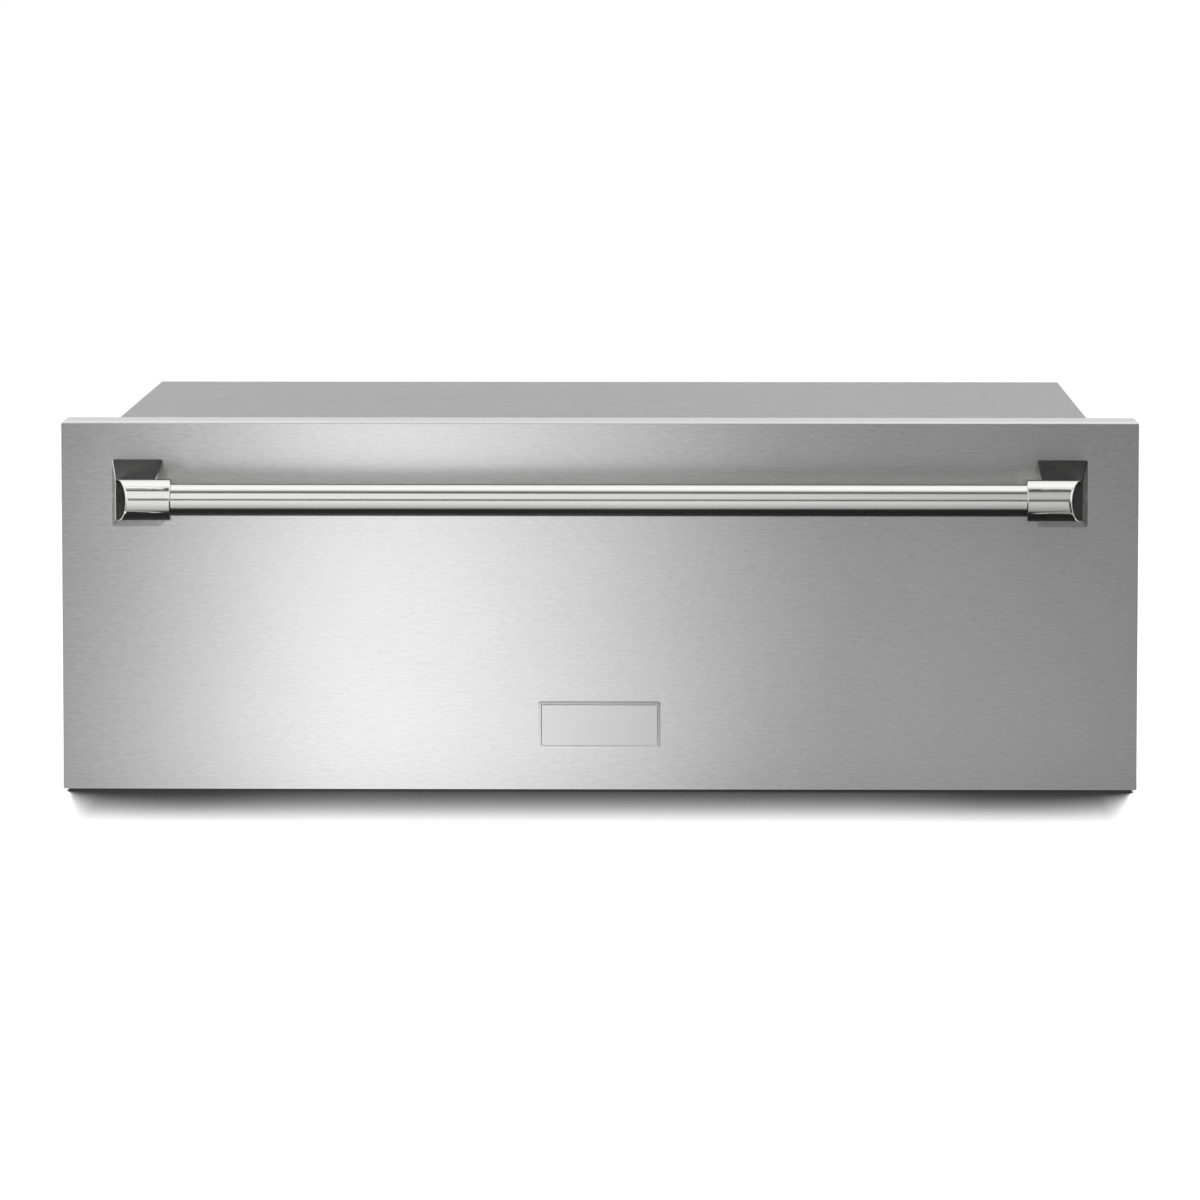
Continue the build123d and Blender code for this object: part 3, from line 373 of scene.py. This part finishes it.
def eased(node, body, width, angle=SHARP_ANGLE, share=everywhere, segments=3):
    """A copy of a CAD node with its sharp edges rounded, each by its share of the width."""
    source = nodes[node].data
    work = bmesh.new()
    points = [work.verts.new(vertex.co) for vertex in source.vertices]
    for face in source.polygons:
        work.faces.new([points[i] for i in face.vertices])
    bmesh.ops.remove_doubles(work, verts=work.verts, dist=WELD)
    bmesh.ops.dissolve_limit(work, angle_limit=FLAT_ANGLE, verts=work.verts, edges=work.edges)
    weight = work.edges.layers.float.new("bevel_weight_edge")
    for edge in work.edges:
        middle = (edge.verts[0].co + edge.verts[1].co) / 2
        if edge.is_manifold and edge.calc_face_angle_signed() > angle:
            edge[weight] = share(middle)
    mesh = bpy.data.meshes.new(node + "_eased")
    work.to_mesh(mesh)
    work.free()
    mesh.shade_smooth()
    mesh.set_sharp_from_angle(angle=angle)
    piece = place_piece(node + "_eased", mesh, body, node)
    edges = piece.modifiers.new("edges", "BEVEL")
    edges.width = width
    edges.segments = segments
    edges.limit_method = "WEIGHT"
    edges.harden_normals = True
    edges.use_clamp_overlap = False
    return piece


def loft(name, rings, closed):
    """A mesh through rings of points.

    A closed one joins its last ring to its first, and an open one has end faces.
    """
    work = bmesh.new()
    rows = [[work.verts.new(point) for point in ring] for ring in rings]
    count = len(rings[0])
    pairs = list(zip(rows, rows[1:] + rows[:1])) if closed else list(zip(rows, rows[1:]))
    for row, following in pairs:
        for i in range(count):
            j = (i + 1) % count
            work.faces.new((row[i], row[j], following[j], following[i]))
    if not closed:
        work.faces.new(rows[0][::-1])
        work.faces.new(rows[-1])
    bmesh.ops.recalc_face_normals(work, faces=work.faces)
    mesh = bpy.data.meshes.new(name)
    work.to_mesh(mesh)
    work.free()
    mesh.shade_smooth()
    mesh.set_sharp_from_angle(angle=SHARP_ANGLE)
    return mesh


BAR_WALL = 0.0016


def handle_tube():
    """The handle's tube, finer than the frame's own."""

    def circle(x, radius):
        points = []
        for i in range(TUBE_SEGMENTS):
            turn = 2 * math.pi * i / TUBE_SEGMENTS
            points.append((x, bar_centre.y + radius * math.cos(turn), bar_centre.z + radius * math.sin(turn)))
        return points

    inside = bar_radius - BAR_WALL
    rings = [
        circle(bar_low.x, bar_radius),
        circle(bar_high.x, bar_radius),
        circle(bar_high.x, inside),
        circle(bar_low.x, inside),
    ]
    place_piece("handle_tube", loft("handle_tube", rings, True), "drawer", "handle_bar")


BADGE_CORNER = 0.0015
BADGE_CORNER_STEPS = 6
BADGE_BASE = 0.0012
BADGE_CHAMFER = 0.0007
BADGE_CHAMFER_DEPTH = 0.00025
BADGE_RIM = 0.0016
BADGE_SLOPE = 0.0006


def badge():
    """The bare plate on the front: a raised rim that slopes in to a brushed field."""
    centre = (badge_low + badge_high) / 2
    half_width = (badge_high.x - badge_low.x) / 2
    half_height = (badge_high.z - badge_low.z) / 2
    depth = badge_high.y - badge_low.y

    def outline(inset, height):
        corner = max(BADGE_CORNER - inset, 0.0002)
        points = []
        for quarter in range(4):
            across = (half_width - inset - corner) * (1 if quarter in (0, 3) else -1)
            up = (half_height - inset - corner) * (1 if quarter in (0, 1) else -1)
            for step in range(BADGE_CORNER_STEPS + 1):
                turn = (quarter + step / BADGE_CORNER_STEPS) * math.pi / 2
                points.append(
                    (
                        centre.x + across + corner * math.cos(turn),
                        front_y - height,
                        centre.z + up + corner * math.sin(turn),
                    )
                )
        return points

    rings = [
        outline(0.0, 0.0),
        outline(0.0, depth - BADGE_CHAMFER_DEPTH),
        outline(BADGE_CHAMFER, depth),
        outline(BADGE_RIM, depth),
        outline(BADGE_RIM + BADGE_SLOPE, BADGE_BASE),
    ]
    place_piece("badge", loft("badge", rings, False), "drawer", "badge_plate")


BRACKET_ROUND = 0.0017
BRACKET_ANGLE = math.radians(15)
SLANT_HALF = 0.0155
SLANT_LEAST = 0.12
SCREW_ROOM = 0.004
SCREW_SIDE = 0.01
PANEL_ROOM = 0.001
SOCKET_ROOM = 0.005
BLOCK_ROOM = 0.005
screw_low, screw_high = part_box("handle_set_screws")
screw_centre = (screw_low + screw_high) / 2


def bracket_share(middle):
    """Full on the bracket's block and least at the top and foot of its slanted end.

    There is none by the panel, the tube's socket and the screw.
    """
    from_screw = math.hypot(middle.y - screw_centre.y, middle.z - screw_centre.z)
    at_screw = abs(middle.x) > bracket_high.x - SCREW_SIDE and from_screw < SCREW_ROOM
    if middle.y > front_y - PANEL_ROOM or abs(middle.x) < bracket_low.x + SOCKET_ROOM or at_screw:
        return 0.0
    if middle.y > bar_centre.y + BLOCK_ROOM:
        return 1.0
    off_middle = abs(middle.z - bar_centre.z) / SLANT_HALF
    return max(1.0 - off_middle**2, SLANT_LEAST)


# Signs printed on the buttons
PRINT_DEPTH = 0.00012
PRINT_STROKE = 0.0006
RING_RADIUS = 0.0027
RING_GAP = math.radians(38)
RING_BAR = (0.0006, 0.0036)
WAVE_HEIGHT = 0.0064
WAVE_SWING = 0.00055
WAVE_PITCH = 0.0025
WAVE_COUNT = 1.5
PRINT_STEPS = 36


def stroke(work, path, depth_from, depth_to):
    """A raised line of even width along a path of (x, z) points."""
    rows = []
    for i, (x, z) in enumerate(path):
        before, after = path[max(i - 1, 0)], path[min(i + 1, len(path) - 1)]
        along_x, along_z = after[0] - before[0], after[1] - before[1]
        scale = PRINT_STROKE / 2 / math.hypot(along_x, along_z)
        side_x, side_z = -along_z * scale, along_x * scale
        corners = [(1, depth_from), (1, depth_to), (-1, depth_to), (-1, depth_from)]
        rows.append([work.verts.new((x + s * side_x, y, z + s * side_z)) for s, y in corners])
    for row, following in zip(rows, rows[1:]):
        for i in range(4):
            j = (i + 1) % 4
            work.faces.new((row[i], row[j], following[j], following[i]))
    work.faces.new(rows[0][::-1])
    work.faces.new(rows[-1])


def button_symbol(name, waves):
    """A printed sign on a button: one to three heat waves, or a broken ring and bar for none."""
    low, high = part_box("button_" + name)
    x, z = (low.x + high.x) / 2, (low.z + high.z) / 2
    paths = []
    steps = [step / PRINT_STEPS for step in range(PRINT_STEPS + 1)]
    for i in range(waves):
        middle = x + (i - (waves - 1) / 2) * WAVE_PITCH
        swings = [WAVE_SWING * math.sin(2 * math.pi * step * WAVE_COUNT) for step in steps]
        paths.append([(middle + swing, z + (step - 0.5) * WAVE_HEIGHT) for swing, step in zip(swings, steps)])
    if not waves:
        turns = [RING_GAP + (2 * math.pi - 2 * RING_GAP) * step for step in steps]
        paths.append([(x + RING_RADIUS * math.sin(turn), z + RING_RADIUS * math.cos(turn)) for turn in turns])
        paths.append([(x, z + RING_BAR[0]), (x, z + RING_BAR[1])])
    work = bmesh.new()
    for path in paths:
        stroke(work, path, low.y + PRINT_DEPTH, low.y - PRINT_DEPTH)
    bmesh.ops.recalc_face_normals(work, faces=work.faces)
    mesh = bpy.data.meshes.new("symbol_" + name)
    work.to_mesh(mesh)
    work.free()
    mesh.materials.append(print_white)
    piece = bpy.data.objects.new("symbol_" + name, mesh)
    scene.collection.objects.link(piece)
    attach(piece, name + "_button")


for waves, name in enumerate(("power", "low", "medium", "high")):
    button_symbol(name, waves)
handle_tube()
badge()
for side in ("left", "right"):
    eased("handle_bracket_" + side, "drawer", BRACKET_ROUND, BRACKET_ANGLE, bracket_share)


# Studio: floor, world, cards that only reflections see, top light and camera
def seen_directly(tree):
    """1 for rays that show the surroundings: from the camera, in a reflection or through glass."""
    path = add(tree, "LightPath").outputs
    seen = calculate(tree, "MAXIMUM", path["Is Camera Ray"], path["Is Glossy Ray"])
    return calculate(tree, "MAXIMUM", seen, path["Is Transmission Ray"])


def plane(name, size, material):
    """A flat rectangle about the origin, facing up."""
    half_x, half_y = size[0] / 2, size[1] / 2
    mesh = bpy.data.meshes.new(name)
    corners = [(-half_x, -half_y, 0), (half_x, -half_y, 0), (half_x, half_y, 0), (-half_x, half_y, 0)]
    mesh.from_pydata(corners, [], [(0, 1, 2, 3)])
    mesh.materials.append(material)
    piece = bpy.data.objects.new(name, mesh)
    scene.collection.objects.link(piece)
    return piece


def position(tree):
    """X, Y and Z of the shaded point in the world."""
    return add(tree, "SeparateXYZ", Vector=add(tree, "NewGeometry").outputs["Position"]).outputs


def studio_floor():
    """A pale floor: white to the eye, with a painted shadow near the object, where occlusion darkens its glow
    and colour, on top of the real shadow the lamps cast on it.
    """
    material, tree, shader = new_material("floor")
    tree.nodes.remove(shader)
    output = tree.nodes["Material Output"]
    place = position(tree)
    frame_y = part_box("front_frame")[0].y
    end_x = skin_high.x
    ahead = curve(tree, place[1], [(frame_y + SHADOW_AHEAD[0], 1.0), (frame_y + SHADOW_AHEAD[1], 0.0)])
    aside = calculate(tree, "ABSOLUTE", place[0])
    inside = curve(tree, aside, [(end_x - SHADOW_INSIDE[0], 1.0), (end_x - SHADOW_INSIDE[1], 0.0)])
    beside_stops = zip(SHADOW_BESIDE, (SHADOW_REACH_BEHIND, SHADOW_REACH_BESIDE))
    beside = curve(tree, aside, [(end_x - inward, reach) for inward, reach in beside_stops])
    near = calculate(tree, "MULTIPLY", ahead, inside)
    reach = add(tree, "MapRange", Value=near, To_Min=beside, To_Max=SHADOW_REACH).outputs[0]
    # Painted shadow: occlusion darkens the floor's glow and colour, and reaches furthest in front of the
    # drawer
    open_sky = add(tree, "AmbientOcclusion", {"samples": SHADOW_SAMPLES}, Distance=reach).outputs["AO"]
    power = curve(tree, aside, [(end_x - SHADOW_REACH, SHADOW_POWER), (end_x, SHADOW_POWER_END)])
    begin = front_y - frame_y
    deep_stops = [(begin - SHADOW_STEP, 0.0), (begin, 1.0), (SHADOW_NEAR, 1.0), (SHADOW_FAR, 0.0)]
    deep = curve(tree, calculate(tree, "SUBTRACT", front_y, place[1]), deep_stops)
    power = add(tree, "MapRange", Value=deep, To_Min=SHADOW_POWER_FAR, To_Max=power).outputs[0]
    shade = calculate(tree, "MAXIMUM", calculate(tree, "POWER", open_sky, power), SHADOW_DEEPEST)
    level = add(tree, "CombineColor", Red=shade, Green=shade, Blue=shade).outputs[0]
    glow = add(tree, "Emission", Color=level, Strength=FLOOR_GLOW)
    lit = add(tree, "BsdfDiffuse", Color=level)
    shown = add(tree, "AddShader", values=[glow.outputs[0], lit.outputs[0]])
    plain = add(tree, "BsdfDiffuse", Color=(FLOOR_SHADE, FLOOR_SHADE, FLOOR_SHADE, 1.0))
    mixed = add(tree, "MixShader", values=[seen_directly(tree), plain.outputs[0], shown.outputs[0]])
    tree.links.new(mixed.outputs[0], output.inputs["Surface"])
    plane("floor", (FLOOR_SIZE, FLOOR_SIZE), material)


def studio_world():
    """White surroundings, which light the object at a lower level."""
    world = bpy.data.worlds.new("studio")
    world.use_nodes = True
    tree = world.node_tree
    shown = tree.nodes["Background"]
    shown.inputs["Color"].default_value = (1.0, 1.0, 1.0, 1.0)
    shown.inputs["Strength"].default_value = 1.0
    ambient = add(tree, "Background", Color=(1.0, 1.0, 1.0, 1.0), Strength=AMBIENT)
    mixed = add(tree, "MixShader", values=[seen_directly(tree), ambient.outputs[0], shown.outputs[0]])
    tree.links.new(mixed.outputs[0], tree.nodes["World Output"].inputs["Surface"])
    scene.world = world


def by_reflection(tree, first, later):
    """A level for what the metal mirrors, and another for what one piece mirrors in another."""
    depth = add(tree, "LightPath").outputs["Glossy Depth"]
    level = add(tree, "MapRange", Value=depth, From_Min=1.0, From_Max=2.0, To_Min=first, To_Max=later)
    return level.outputs[0]


def curve(tree, value, stops):
    """A ramp whose stops are at real places."""
    first, last = stops[0][0], stops[-1][0]
    along = add(tree, "MapRange", Value=value, From_Min=first, From_Max=last).outputs[0]
    return ramp(tree, along, [((x - first) / (last - first), level) for x, level in stops])


def across(stops):
    """A level by the place on the drawer front that mirrors a point of a card to the camera."""

    def level(tree):
        place = position(tree)
        ahead = calculate(tree, "DIVIDE", calculate(tree, "SUBTRACT", front_y, place[1]), CAMERA_DISTANCE)
        aside = calculate(tree, "ADD", place[0], calculate(tree, "MULTIPLY", ahead, CAMERA_SIDE))
        mirrored = calculate(tree, "DIVIDE", aside, calculate(tree, "ADD", ahead, 1.0))
        return curve(tree, mirrored, stops)

    return level


def outward(stops):
    """A level by the distance in front of the drawer front."""

    def level(tree):
        place = position(tree)
        return curve(tree, calculate(tree, "SUBTRACT", front_y, place[1]), stops)

    return level


def card_light(name, *levels, first=1.0, later=0.12, clear=False):
    """A card's own light, the product of its levels. A clear card also shows what lies behind it."""
    material, tree, shader = new_material(name)
    tree.nodes.remove(shader)
    strength = by_reflection(tree, first, later if isinstance(later, float) else later(tree))
    for level in levels:
        strength = calculate(tree, "MULTIPLY", strength, level if isinstance(level, float) else level(tree))
    light = add(tree, "Emission", Strength=strength).outputs[0]
    if clear:
        light = add(tree, "AddShader", values=[light, add(tree, "BsdfTransparent").outputs[0]]).outputs[0]
    tree.links.new(light, tree.nodes["Material Output"].inputs["Surface"])
    material.cycles.emission_sampling = "NONE"
    return material


def card(name, centre, target, size, material):
    """A card or scrim that only reflections see, turned to a target."""
    piece = plane(name, size, material)
    piece.location = centre
    piece.rotation_mode = "QUATERNION"
    piece.rotation_quaternion = (Vector(target) - Vector(centre)).to_track_quat("Z", "Y")
    piece.visible_camera = False
    piece.visible_diffuse = False
    piece.visible_shadow = False
    return piece


def level_card(name, near, far, z, width, material):
    """A card that lies level, between two distances in front of the drawer front."""
    y = front_y - (near + far) / 2
    facing = 1.0 if z < bar_centre.z else -1.0
    return card(name, (0.0, y, z), (0.0, y, z + facing), (width, far - near), material)


def upright_card(name, low_angle, high_angle, width, material, distance):
    """A card in front of the handle, between two angles above the level, as the handle sees it."""
    low, high = [bar_centre.z + distance * math.tan(math.radians(angle)) for angle in (low_angle, high_angle)]
    y = bar_centre.y - distance
    middle = (low + high) / 2
    return card(name, (0.0, y, middle), (0.0, 0.0, middle), (width, high - low), material)


def lights(cards, pieces, state):
    """Lets cards light only these pieces (INCLUDE) or all but them (EXCLUDE)."""
    group = bpy.data.collections.new("lit_" + cards[0].name)
    for piece in pieces:
        group.objects.link(piece)
    for entry in group.collection_objects:
        entry.light_linking.link_state = state
    for piece in cards:
        piece.light_linking.receiver_collection = group


# Levels across the front, by X in metres, and outward from it, by distance in metres
FRONT_ACROSS = [
    (-2.0, 0.6),
    (-0.9, 0.5),
    (-0.44, 0.45),
    (-0.152, 1.35),
    (0.19, 0.49),
    (0.6, 0.24),
    (1.1, 0.14),
    (2.0, 0.12),
]
FRONT_OUTWARD = [(0.0, 0.85), (0.3, 0.98), (1.0, 0.98), (1.5, 1.0), (2.6, 0.6), (5.0, 0.2), (8.0, 0.12)]
FILL_ACROSS = [
    (-2.0, 0.2),
    (-0.44, 0.06),
    (-0.3, 0.24),
    (-0.152, 1.32),
    (0.0, 0.55),
    (0.19, 0.18),
    (0.6, 0.15),
    (2.0, 0.1),
]
FAR_OUTWARD = [(1.5, 0.0), (2.6, 0.3), (5.0, 0.62), (8.0, 0.62)]
FRONT_LATER = [(0.25, 0.06), (0.45, 0.85), (3.0, 0.85)]
HANDLE_ACROSS = [(-1.0, 1.0), (-0.21, 1.0), (0.0, 0.97), (0.18, 0.82), (0.355, 0.7), (0.43, 0.25), (0.7, 0.1)]
HANDLE_OUTWARD = [(0.18, 0.02), (0.21, 0.42), (0.32, 0.6), (0.54, 0.76), (1.4, 0.9), (3.0, 0.94)]
SCRIM_ACROSS = [(-1.0, 0.95), (-0.21, 0.95), (0.0, 0.84), (0.18, 0.64), (0.35, 0.45), (1.0, 0.4)]
TOP_OUTWARD = [(-0.95, 1.08), (0.0, 1.08), (0.28, 0.9), (0.57, 0.4), (0.75, 0.1)]
# Angles of the upright cards above the level, in degrees
FRONT_WALL = (-1.5, 9.0)
FRONT_RISE = (14.0, 36.0)
FRONT_SCRIM = (36.0, 58.0)
HANDLE_WALL = (-1.5, 0.5)
HANDLE_SCRIM = (12.0, 54.0)
SURROUND = (-1.5, 72.0)
# Sizes and places of the cards. Those that overlap lie a little apart.
CARD_WIDTH = 16.0
TOP_BOX_WIDTH = 3.0
CARD_UNDER_FRONT = -0.05
FRONT_FLOOR_RISE = 0.001
FRONT_FAR_RISE = 0.0015
HANDLE_FLOOR_RISE = 0.0005
CARD_GAP = 0.02
FAR_GAP = 0.03
SURROUND_GAP = 0.1
EDGE_CARD = (-2.16, -2.91, 0.35)
EDGE_CARD_SIZE = (1.7, 1.6)


def studio_cards():
    """What the metal mirrors: floor, walls, scrims and top box, with dark gaps between them."""
    on_front, fill, on_scrim = across(FRONT_ACROSS), across(FILL_ACROSS), across(SCRIM_ACROSS)
    on_handle = across(HANDLE_ACROSS)
    floor_later = outward(FRONT_LATER)
    dark = card_light("dark_card", 0.06)
    front_floor = card_light("front_floor", on_front, outward(FRONT_OUTWARD), later=floor_later, clear=True)
    front_far = card_light("front_far", fill, outward(FAR_OUTWARD), later=0.03, clear=True)
    front_fill = card_light("front_fill", 0.8, fill, later=0.03, clear=True)
    handle_floor = card_light("handle_floor", on_handle, outward(HANDLE_OUTWARD))
    handle_fill = card_light("handle_fill", 0.94, on_handle)
    handle_scrim = card_light("handle_scrim", on_scrim)
    front_rise = card_light("front_rise", 0.75, on_scrim, later=0.02, clear=True)
    front_scrim = card_light("front_scrim", on_scrim, first=0.85, later=0.7, clear=True)
    edge_light = card_light("edge_card", 1.0, first=0.0, later=3.0, clear=True)
    box = card_light("top_box", outward(TOP_OUTWARD), later=0.6)
    wall = CARD_DISTANCE - (front_y - bar_centre.y)
    near_wall, near_card = wall - CARD_GAP, CARD_DISTANCE - CARD_GAP
    edge_target = (skin_low.x, front_y, EDGE_CARD[2])
    front_cards = [
        level_card("front_floor", CARD_UNDER_FRONT, near_wall, FRONT_FLOOR_RISE, CARD_WIDTH, front_floor),
        level_card("front_far", FAR_OUTWARD[0][0], wall - FAR_GAP, FRONT_FAR_RISE, CARD_WIDTH, front_far),
        upright_card("front_wall", *FRONT_WALL, CARD_WIDTH, front_fill, near_card),
        upright_card("front_rise", *FRONT_RISE, CARD_WIDTH, front_rise, near_card),
        upright_card("front_scrim", *FRONT_SCRIM, CARD_WIDTH, front_scrim, near_card),
        card("edge_card", EDGE_CARD, edge_target, EDGE_CARD_SIZE, edge_light),
    ]
    handle_cards = [
        level_card("handle_floor", CARD_UNDER_FRONT, wall, HANDLE_FLOOR_RISE, CARD_WIDTH, handle_floor),
        upright_card("handle_wall", *HANDLE_WALL, CARD_WIDTH, handle_fill, CARD_DISTANCE),
        upright_card("handle_scrim", *HANDLE_SCRIM, CARD_WIDTH, handle_scrim, CARD_DISTANCE),
    ]
    front_pieces = [nodes["drawer_front_skin"], bpy.data.objects["badge"]]
    lights(front_cards, front_pieces, "INCLUDE")
    lights(handle_cards, front_pieces, "EXCLUDE")
    upright_card("surround", *SURROUND, CARD_WIDTH, dark, CARD_DISTANCE + SURROUND_GAP)
    ceiling = bar_centre.z + TOP_LIGHT_RISE
    level_card("top_box", TOP_OUTWARD[0][0], TOP_OUTWARD[-1][0], ceiling, TOP_BOX_WIDTH, box)


# The slanted ends of the handle mirror the room beside and behind the drawer front
END_FLAG = Vector((1.27, 0.43, 0.25))
END_FLAG_SIZE = (0.6, 0.9)


def end_flags():
    """Flags that the handle's slanted ends see as dark, and everything else as the white room."""
    material, tree, shader = new_material("end_flag")
    tree.nodes.remove(shader)
    light = add(tree, "Emission", Strength=1.0)
    tree.links.new(light.outputs[0], tree.nodes["Material Output"].inputs["Surface"])
    material.cycles.emission_sampling = "NONE"
    flags = []
    for side, name in ((-1, "left"), (1, "right")):
        place = (side * END_FLAG.x, END_FLAG.y, END_FLAG.z)
        target = (side * bracket_high.x, bar_centre.y, END_FLAG.z)
        flags.append(card("end_flag_" + name, place, target, END_FLAG_SIZE, material))
    brackets = [bpy.data.objects["handle_bracket_" + side + "_eased"] for side in ("left", "right")]
    lights(flags, brackets, "EXCLUDE")


def top_light():
    """A large soft box overhead, a little behind the handle."""
    light = bpy.data.lights.new("top_light", "AREA")
    light.shape = "RECTANGLE"
    light.size, light.size_y = TOP_LIGHT_SIZE
    light.energy = TOP_LIGHT_RADIANCE * math.pi * TOP_LIGHT_SIZE[0] * TOP_LIGHT_SIZE[1]
    lamp = bpy.data.objects.new("top_light", light)
    scene.collection.objects.link(lamp)
    lamp.location = (0.0, bar_centre.y + TOP_LIGHT_BEHIND, bar_centre.z + TOP_LIGHT_RISE)
    lamp.visible_glossy = False


def studio_camera():
    """The photograph's view: far off, a little to the right and above, looking down."""
    data = bpy.data.cameras.new("camera")
    data.lens = CAMERA_LENS
    data.sensor_width = CAMERA_SENSOR
    data.clip_end = 2 * FLOOR_SIZE
    camera = bpy.data.objects.new("camera", data)
    scene.collection.objects.link(camera)
    camera.location = (CAMERA_SIDE, front_y - CAMERA_DISTANCE, front_middle.z + CAMERA_RISE)
    camera.rotation_euler = (math.pi / 2 - CAMERA_PITCH, 0.0, -CAMERA_YAW)
    scene.camera = camera


studio_floor()
studio_world()
studio_cards()
end_flags()
top_light()
studio_camera()
scene.view_settings.view_transform = "Standard"
